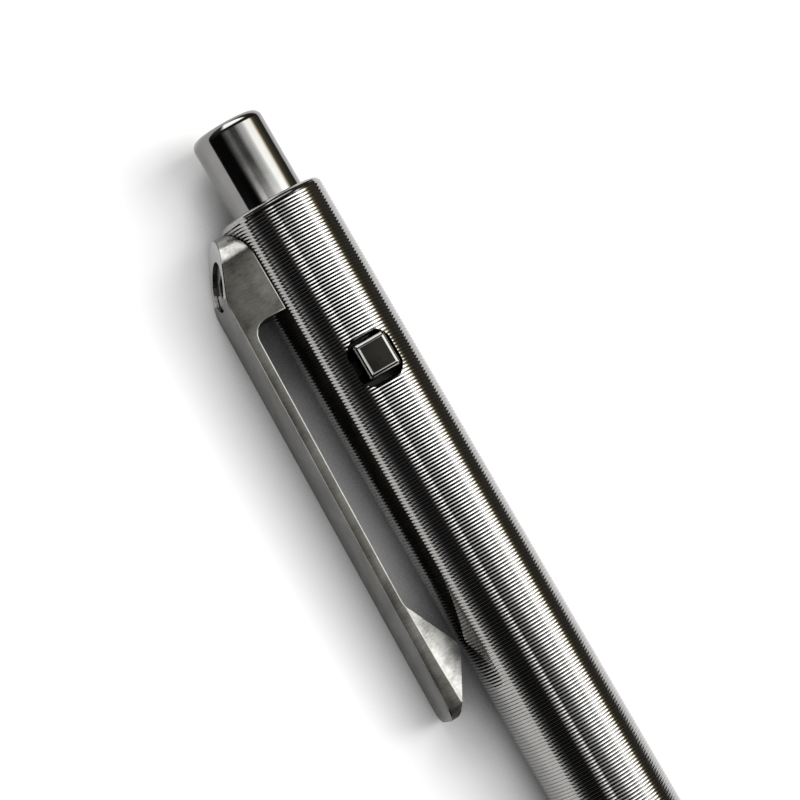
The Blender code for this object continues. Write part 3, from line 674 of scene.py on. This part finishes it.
clip = {
    "sideInset": 0.00011,
    "sideDrop": 0.00004,
    "edge": 0.00004,
    "facetSlope": 0.4369,
    "bumpStart": 0.0397,
    # the piece's finishes, in the order of its material slots, which are lit and shaded copies of
    # one titanium: painted light and shade
    "finishes": ("milled", "rubbedAndHighlit", "facet", "flank", "round", "outer"),
    # shares of a face's normal: along the facet's, enough to be slanted, too little along the
    # pen or across it, almost straight up or down, and plainly towards the clip's outside
    "facetShare": 0.995,
    "slantShare": 0.2,
    "alongShare": 0.1,
    "acrossShare": 0.05,
    "uprightShare": 0.98,
    "outerShare": 0.7,
}


# The clip: its faces take lighter or darker copies of its titanium by the way they face, which is
# painted light and shade, and a band round each of its two sides slopes down to meet the other
# faces lower, in a lighter copy that is partly rubbed wear and partly a painted highlight
def makeClip():
    mesh, shape = joinedMesh("clip", "clip_body")
    up, across = Vector(direction([0, 0, 1])), Vector(direction([0, 1, 0]))
    facet = (Vector((-clip["facetSlope"], 0, 0)) - across).normalized()
    slots = {name: place for place, name in enumerate(clip["finishes"])}
    slant = clip["slantShare"]
    # each face takes a lighter or darker copy of the titanium by the way it faces: painted light
    # and shade
    for face in shape.faces:
        station = face.calc_center_median().x - barrelLow.x
        upward, outward = face.normal.dot(up), face.normal.dot(across)
        slanted = abs(upward) > slant and outward > slant
        if face.normal.dot(facet) > clip["facetShare"]:
            face.material_index = slots["facet"]
        elif station > clip["bumpStart"] and slanted and abs(face.normal.x) < clip["alongShare"]:
            face.material_index = slots["flank"]
        elif face.normal.x < -slant and slant < abs(upward) < clip["uprightShare"]:
            face.material_index = slots["round"]
        elif outward < -clip["outerShare"]:
            face.material_index = slots["outer"]
    for side in (up, -up):
        flat = [
            face
            for face in shape.faces
            if face.normal.dot(side) > slant
            and abs(face.normal.dot(across)) < clip["acrossShare"]
        ]
        band = bmesh.ops.inset_region(
            shape, faces=flat, thickness=clip["sideInset"], use_even_offset=True
        )["faces"]
        inner = {vertex for face in flat for vertex in face.verts}
        outer = {vertex for face in band for vertex in face.verts} - inner
        bmesh.ops.translate(shape, verts=list(outer), vec=side * -clip["sideDrop"])
        # the band's lighter finish is partly rubbed wear and partly a painted highlight
        for face in band:
            face.material_index = slots["rubbedAndHighlit"]
    return mesh, shape


clipMesh, clipShape = makeClip()
clipFinishes = [finishes[name + "Titanium"] for name in clip["finishes"]]
brokenEdges(
    "clip", "clip_body", clipShape, clipMesh, clip["edge"], clipFinishes,
    "barrel",
)
screw = {"edge": 0.00015}
screwMesh, screwShape = joinedMesh("clip_screw", "clip_screw_body")
brokenEdges(
    "clip_screw", "clip_screw_body", screwShape, screwMesh, screw["edge"],
    [finishes["socketSteel"]], "barrel",
)
print("milled the clip and its screw")

button = {
    "station": 0.01795,
    "across": 0.0002,
    "halfLength": 0.00185,
    "halfWidth": 0.00175,
    "corner": 0.0003,
    "cornerShrink": 0.5,
    "leastCorner": 0.00005,
    "cornerSteps": 6,
    "foot": 0.0028,
    "top": 0.00574,
    "round": 0.0005,
    "roundSteps": 9,
    "rubbedAndHighlitFrom": 3,
    "sharpDegrees": 8,
}


# The release button: rings of one rounded rectangle, straight up its side, drawn in by a
# quarter circle at the top, and a flat top inside them
def makeButton():
    turn = np.radians(np.linspace(0, 90, button["roundSteps"]))
    inset = np.append(0, button["round"] * (1 - np.cos(turn)))
    height = np.append(button["foot"], button["top"] - button["round"] * (1 - np.sin(turn)))
    rings = []
    for drawnIn, level in zip(inset, height):
        outline = roundedRectangle(
            button["halfLength"] - drawnIn,
            button["halfWidth"] - drawnIn,
            max(button["corner"] - drawnIn * button["cornerShrink"], button["leastCorner"]),
            button["cornerSteps"],
        )
        rings.append(ringAt(button["station"], button["across"], outline, level))
    mesh = loft("button_body", rings)
    # the rounded rim from the given ring on takes the lighter steel as a painted highlight and
    # wear, the rest the near-black steel as a painted dark reflection
    rubbedAndHighlit = np.zeros(len(mesh.polygons), np.int32)
    count = len(rings[0])
    rubbedAndHighlit[button["rubbedAndHighlitFrom"] * count:(len(rings) - 1) * count] = 1
    mesh.polygons.foreach_set("material_index", rubbedAndHighlit)
    return mesh


buttonBody = meshObject(
    "button_body",
    makeButton(),
    [finishes["darkSteel"], finishes["rubbedAndHighlitSteel"]],
    button["sharpDegrees"],
)
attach(buttonBody, "latch")
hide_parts("release_button")
print("shaped the button")

# A closed turn's pitch is given in radii of the wire
returnSpring = {
    "start": 0.1041,
    "end": 0.1143,
    "radius": 0.0022,
    "wire": 0.0002,
    "closedPitch": 2.1,
    "turns": 10,
    "rowsPerTurn": 24,
    "columns": 10,
    "travel": 0.0053,
}
latchSpring = {
    "station": 0.0181,
    "start": -0.0041,
    "end": -0.0027,
    "radius": 0.0006,
    "wire": 0.00008,
    "closedPitch": 2.1,
    "turns": 4,
    "rowsPerTurn": 24,
    "columns": 8,
    "travel": 0.0005,
}


# A compression spring: the wire's circle is carried along a helix whose pitch closes to
# little more than the wire's thickness in the first and last turn, so that a point lies
# along its axis, out * sin(turn) to one side and out * cos(turn) to the other; each end is
# a flat face, which closes on one point
def helixPoints(spring):
    rows = spring["turns"] * spring["rowsPerTurn"] + 1
    turn = np.linspace(0, spring["turns"], rows)
    turn = np.concatenate((turn[:1], turn, turn[-1:]))
    wire = np.full(len(turn), spring["wire"])
    wire[[0, -1]] = 0
    first, last = spring["start"] + spring["wire"], spring["end"] - spring["wire"]
    closed = spring["closedPitch"] * spring["wire"]
    middle = np.interp(
        turn,
        [0, 1, spring["turns"] - 1, spring["turns"]],
        [first, first + closed, last - closed, last],
    )
    around = np.arange(spring["columns"]) * 2 * np.pi / spring["columns"]
    out = spring["radius"] + wire[:, None] * np.cos(around)
    along = middle[:, None] + wire[:, None] * np.sin(around)
    angle = 2 * np.pi * turn[:, None]
    return along, out * np.sin(angle), out * np.cos(angle)


# A spring rides on the body that holds its fixed end
def addSpring(name, node, grid, body):
    piece = meshObject(name, gridMesh(name, toWorld(grid), False), [finishes["brightSteel"]])
    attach(piece, body)
    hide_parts(node)
    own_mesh(piece)


along, side, other = helixPoints(returnSpring)
addSpring(
    "return_coil", "return_spring", np.stack((along, side, other), -1),
    "nose_carrier",
)
along, side, other = helixPoints(latchSpring)
addSpring(
    "latch_coil", "latch_spring", np.stack((latchSpring["station"] + side, other, along), -1),
    "barrel",
)
print("wound the springs")

keptFinishes = {
    "plunger_stem": "brightSteel",
    "thrust_cup": "brightSteel",
    "plunger_bumper": "blackRubber",
    # painted shade: the brass housing takes the black finish, so that what is seen through the
    # window reads as the shade it lies in
    "mechanism_housing": "blackMetal",
    "housing_lock_ring": "brightSteel",
    "latch_plate": "blackMetal",
    "refill_end_cap": "mouldedPlastic",
    "refill_tube": "brightSteel",
    "ink_column": "penInk",
    "refill_tip": "turnedBrass",
    "writing_ball": "brightSteel",
    "nose_o_ring": "blackRubber",
    "spring_washer": "brightSteel",
}
for node, name in keptFinishes.items():
    kept = frame["nodes"][node].data
    kept.materials.clear()
    kept.materials.append(finishes[name])
print("finished the inner pieces")

grey = (0.8, 0.8, 0.8)
flankLight = (
    (24, 0.2), (32, 0.12), (38, 0.8), (42, 2.2), (47, 1.8), (53, 0.6), (66, 0.07), (95, 0.06),
)
studio = {
    "floorHalf": 3.0,
    "floorColour": (0.8, 0.8, 0.805, 1),
    "floorRoughness": 0.9,
    "floorSpecular": 0.1,
    # how far the floor looks for what shades it, the span of open sky from fully shaded to
    # clear, the colour painted on it where it is shaded, which is painted shade, and the light it
    # gives off by itself
    "shadeReach": 0.008,
    "shadeSamples": 8,
    "shadeSpan": (0.12, 0.52),
    "floorShade": (0.1, 0.1, 0.102, 1),
    "floorGlow": 0.14,
    # where across the pen the strip of floor that reflections show has its middle, how far to
    # either side of that it fades, and the near black painted beyond it, seen only in reflections:
    # a painted dark reflection
    "reflectedStripMiddle": -0.0135,
    "reflectedStripEdge": (0.072, 0.094),
    "paintedDarkBeyondStrip": (0.02, 0.02, 0.02, 1),
    # light by the angle in degrees from straight up, away from the clip positive: what lies
    # far towards the plunger's end, the dim stretch next to it, what the plunger shows, what
    # the lands of the barrel's upper and lower parts show, and what the long flanks of its
    # grooves show: beside its two edges, further in, and in the middle of its lower part
    "angleLimit": 95,
    "farBands": (
        (-95, 0.12), (-50, 0.12), (-42, 1.4), (-30, 5.0), (0, 5.0), (48, 5.0), (58, 0.14),
        (95, 0.14),
    ),
    "dimBands": ((-95, 0.04), (-50, 0.04), (-40, 0.06), (50, 0.06), (60, 0.06), (95, 0.06)),
    "plungerBands": (
        (-95, 0.01), (-52, 0.01), (-43, 0.18), (-31, 0.46), (-19, 0.15), (-7, 0.18), (5, 1.3),
        (18, 2.1), (24, 3.0), (30, 4.6), (50, 4.6), (57, 1.8), (62, 0.3), (80, 0.09), (95, 0.09),
    ),
    "upperBands": (
        (-95, 0.05), (-76, 0.05), (-66, 0.004), (-50, 0.004), (-45, 0.26), (-38, 4.0),
        (-29, 4.9), (-22, 2.6), (-13, 3.4), (-5, 3.4), (4, 4.8), (12, 5.4), (21, 4.6),
        (30, 6.2), (42, 8.6), (50, 3.8), (57, 0.24), (66, 0.07), (95, 0.07),
    ),
    "lowerBands": (
        (-95, 0.003), (-50, 0.003), (-44, 0.06), (-36, 1.6), (-29, 3.9), (-23, 0.24),
        (-13, 0.55), (-5, 1.3), (4, 4.0), (12, 6.8), (21, 5.4), (30, 8.4), (42, 11.0),
        (50, 9.0), (58, 0.5), (66, 0.09), (95, 0.09),
    ),
    "endBands": (
        (-95, 1.2), (-87, 1.0), (-79, 0.3), (-70, 0.15), (-48, 0.15), (-40, 0.003), (17, 0.003),
        *flankLight,
    ),
    "deepBands": ((-95, 0.5), (-88, 0.2), (-80, 0.02), (-70, 0.003), (17, 0.003), *flankLight),
    "footBands": (
        (-95, 0.2), (-86, 0.06), (-70, 0.003), (-20, 0.003), (-5, 0.06), (8, 0.4), (18, 0.2),
        (31, 1.5), (38, 3.6), (46, 4.0), (54, 2.0), (66, 0.07), (95, 0.06),
    ),
    # the light's colour by the same angle, warm beside the dark bands of the barrel's edges,
    # and the light that the camera itself sees
    "tints": (
        (-95, grey), (-56, grey), (-48, (0.8, 0.74, 0.7)), (-36, grey), (38, grey),
        (50, (0.8, 0.77, 0.73)), (60, (0.8, 0.7, 0.5)), (76, (0.8, 0.7, 0.5)),
        (86, (0.8, 0.8, 0.77)), (95, grey),
    ),
    "seenColour": (*grey, 1),
    "seenLevel": 1.0,
    # the spans of a direction's share along the pen in which one set gives way to the next
    "farTo": (-0.68, -0.58),
    "dimTo": (-0.24, -0.16),
    "plungerTo": (-0.088, -0.076),
    "upperTo": (-0.03, 0.11),
    "endsFrom": (0.26, 0.36),
    "deepFrom": (0.47, 0.56),
    "footFrom": (0.78, 0.84),
}


# A white paper floor: painted shade darkens its colour where a narrow gap leaves it little open
# sky, it gives off some light to the camera and to reflections, less where that shade is painted,
# and to reflections alone it is painted near black to either side of a strip
def makeFloor():
    half = studio["floorHalf"]
    corners = [(-half, -half, 0), (half, -half, 0), (half, half, 0), (-half, half, 0)]
    mesh = bpy.data.meshes.new("floor")
    mesh.from_pydata(corners, [], [(0, 1, 2, 3)])
    material = bpy.data.materials.new("paleFloor")
    material.use_nodes = True
    tree = material.node_tree
    shader = tree.nodes["Principled BSDF"]
    shader.inputs["Roughness"].default_value = studio["floorRoughness"]
    shader.inputs["Specular IOR Level"].default_value = studio["floorSpecular"]
    shader.inputs["Emission Color"].default_value = (1, 1, 1, 1)
    path = tree.nodes.new("ShaderNodeLightPath")
    place = tree.nodes.new("ShaderNodeTexCoord")
    split = tree.nodes.new("ShaderNodeSeparateXYZ")
    cover = addNode(
        tree, "ShaderNodeAmbientOcclusion",
        samples=studio["shadeSamples"], Distance=studio["shadeReach"],
    )
    # painted shade: the floor's colour goes to the shaded colour where occlusion finds it closed in
    clear = shareNode(tree, cover.outputs["AO"], studio["shadeSpan"])
    colour = mixNode(tree, "RGBA", clear, studio["floorShade"], studio["floorColour"])
    tree.links.new(place.outputs["Object"], split.inputs[0])
    # painted dark reflection: to glossy rays only, the floor turns near black beyond the strip
    offset = mathNode(tree, "SUBTRACT", split.outputs["Y"], studio["reflectedStripMiddle"])
    aside = mathNode(tree, "ABSOLUTE", offset)
    far = shareNode(tree, aside, studio["reflectedStripEdge"], interpolation_type="SMOOTHSTEP")
    paintedReflectionMask = mathNode(tree, "MULTIPLY", far, path.outputs["Is Glossy Ray"])
    ground = mixNode(tree, "RGBA", paintedReflectionMask, colour, studio["paintedDarkBeyondStrip"])
    tree.links.new(ground, shader.inputs["Base Color"])
    seen = mathNode(
        tree, "MAXIMUM", path.outputs["Is Camera Ray"], path.outputs["Is Glossy Ray"]
    )
    near = mathNode(tree, "MULTIPLY", seen, mathNode(tree, "SUBTRACT", 1.0, paintedReflectionMask))
    strength = mathNode(tree, "MULTIPLY", near, studio["floorGlow"])
    # the glow is dimmed by the same painted shade
    tree.links.new(
        mathNode(tree, "MULTIPLY", strength, clear), shader.inputs["Emission Strength"]
    )
    floor = meshObject("floor", mesh, [material])


# The studio round the pen as a world: bands of light that run along the pen, told apart by
# the angle from straight up, which change with the direction's share along the pen
def makeWorld():
    world = bpy.data.worlds.new("studio")
    bpy.context.scene.world = world
    world.use_nodes = True
    tree = world.node_tree
    tree.nodes.clear()
    link = tree.links.new
    place = tree.nodes.new("ShaderNodeTexCoord")
    split = tree.nodes.new("ShaderNodeSeparateXYZ")
    link(place.outputs["Generated"], split.inputs[0])
    angle = mathNode(tree, "ARCTAN2", split.outputs["Y"], split.outputs["Z"])
    limit = studio["angleLimit"]
    share = shareNode(tree, angle, (math.radians(-limit), math.radians(limit)))

    # a ramp of colours by the angle
    def rampOf(stops):
        ramp = tree.nodes.new("ShaderNodeValToRGB")
        link(share, ramp.inputs["Fac"])
        elements = ramp.color_ramp.elements
        for degrees, colour in stops[1:-1]:
            elements.new((degrees + limit) / (2 * limit))
        for element, (degrees, colour) in zip(elements, stops):
            element.color = (*colour, 1)
        return ramp.outputs["Color"]

    # one set of bands: a ramp of greys up to 1, times the brightest band's level
    def bandsOfLight(bands):
        brightest = max(level for degrees, level in bands)
        greys = [(degrees, (level / brightest,) * 3) for degrees, level in bands]
        return mathNode(tree, "MULTIPLY", rampOf(greys), brightest)

    # from one level to another as a direction's share along the pen crosses a span
    def crossing(span, first, second):
        step = shareNode(tree, split.outputs["X"], span, interpolation_type="SMOOTHSTEP")
        return mixNode(tree, "FLOAT", step, first, second)

    level = bandsOfLight(studio["farBands"])
    for span, bands in (
        ("farTo", "dimBands"),
        ("dimTo", "plungerBands"),
        ("plungerTo", "upperBands"),
        ("upperTo", "lowerBands"),
        ("endsFrom", "endBands"),
        ("deepFrom", "deepBands"),
        ("footFrom", "footBands"),
    ):
        level = crossing(studio[span], level, bandsOfLight(studio[bands]))
    seen = tree.nodes.new("ShaderNodeLightPath").outputs["Is Camera Ray"]
    shown = mixNode(tree, "FLOAT", seen, level, studio["seenLevel"])
    tint = mixNode(tree, "RGBA", seen, rampOf(studio["tints"]), studio["seenColour"])
    background = tree.nodes.new("ShaderNodeBackground")
    link(tint, background.inputs["Color"])
    link(shown, background.inputs["Strength"])
    output = tree.nodes.new("ShaderNodeOutputWorld")
    link(background.outputs[0], output.inputs["Surface"])


camera = {
    "lens": 130.5,
    "sensor": 36.0,
    "distance": 0.2791,
    "lean": 16.0,
    "aimStation": 0.02271,
    "aimAcross": 0.00144,
    "turnCosine": 0.50227,
    "turnSine": 0.86471,
    "clipSpan": (0.01, 20),
}


# The camera looks square on to the pen's axis, from 16 degrees past the button towards the
# clip, and is turned about its line of sight so that the pen runs down to the right
def makeCamera():
    tilt = pen["roll"] + math.radians(camera["lean"])
    back = Vector((0, -math.sin(tilt), math.cos(tilt)))
    along, across = Vector((1, 0, 0)), Vector((0, math.cos(tilt), math.sin(tilt)))
    aim = Vector(pen["axisPlace"]) + along * camera["aimStation"] + across * camera["aimAcross"]
    right = camera["turnCosine"] * along + camera["turnSine"] * across
    up = -camera["turnSine"] * along + camera["turnCosine"] * across
    lens = bpy.data.cameras.new("camera")
    lens.lens, lens.sensor_width = camera["lens"], camera["sensor"]
    lens.clip_start, lens.clip_end = camera["clipSpan"]
    view = bpy.data.objects.new("camera", lens)
    place = Matrix((right, up, back)).transposed().to_4x4()
    view.matrix_world = Matrix.Translation(aim + back * camera["distance"]) @ place
    bpy.context.scene.collection.objects.link(view)
    bpy.context.scene.camera = view


makeFloor()
makeWorld()
makeCamera()
bpy.context.scene.view_settings.view_transform = "Standard"
print("set the floor, the light and the camera")
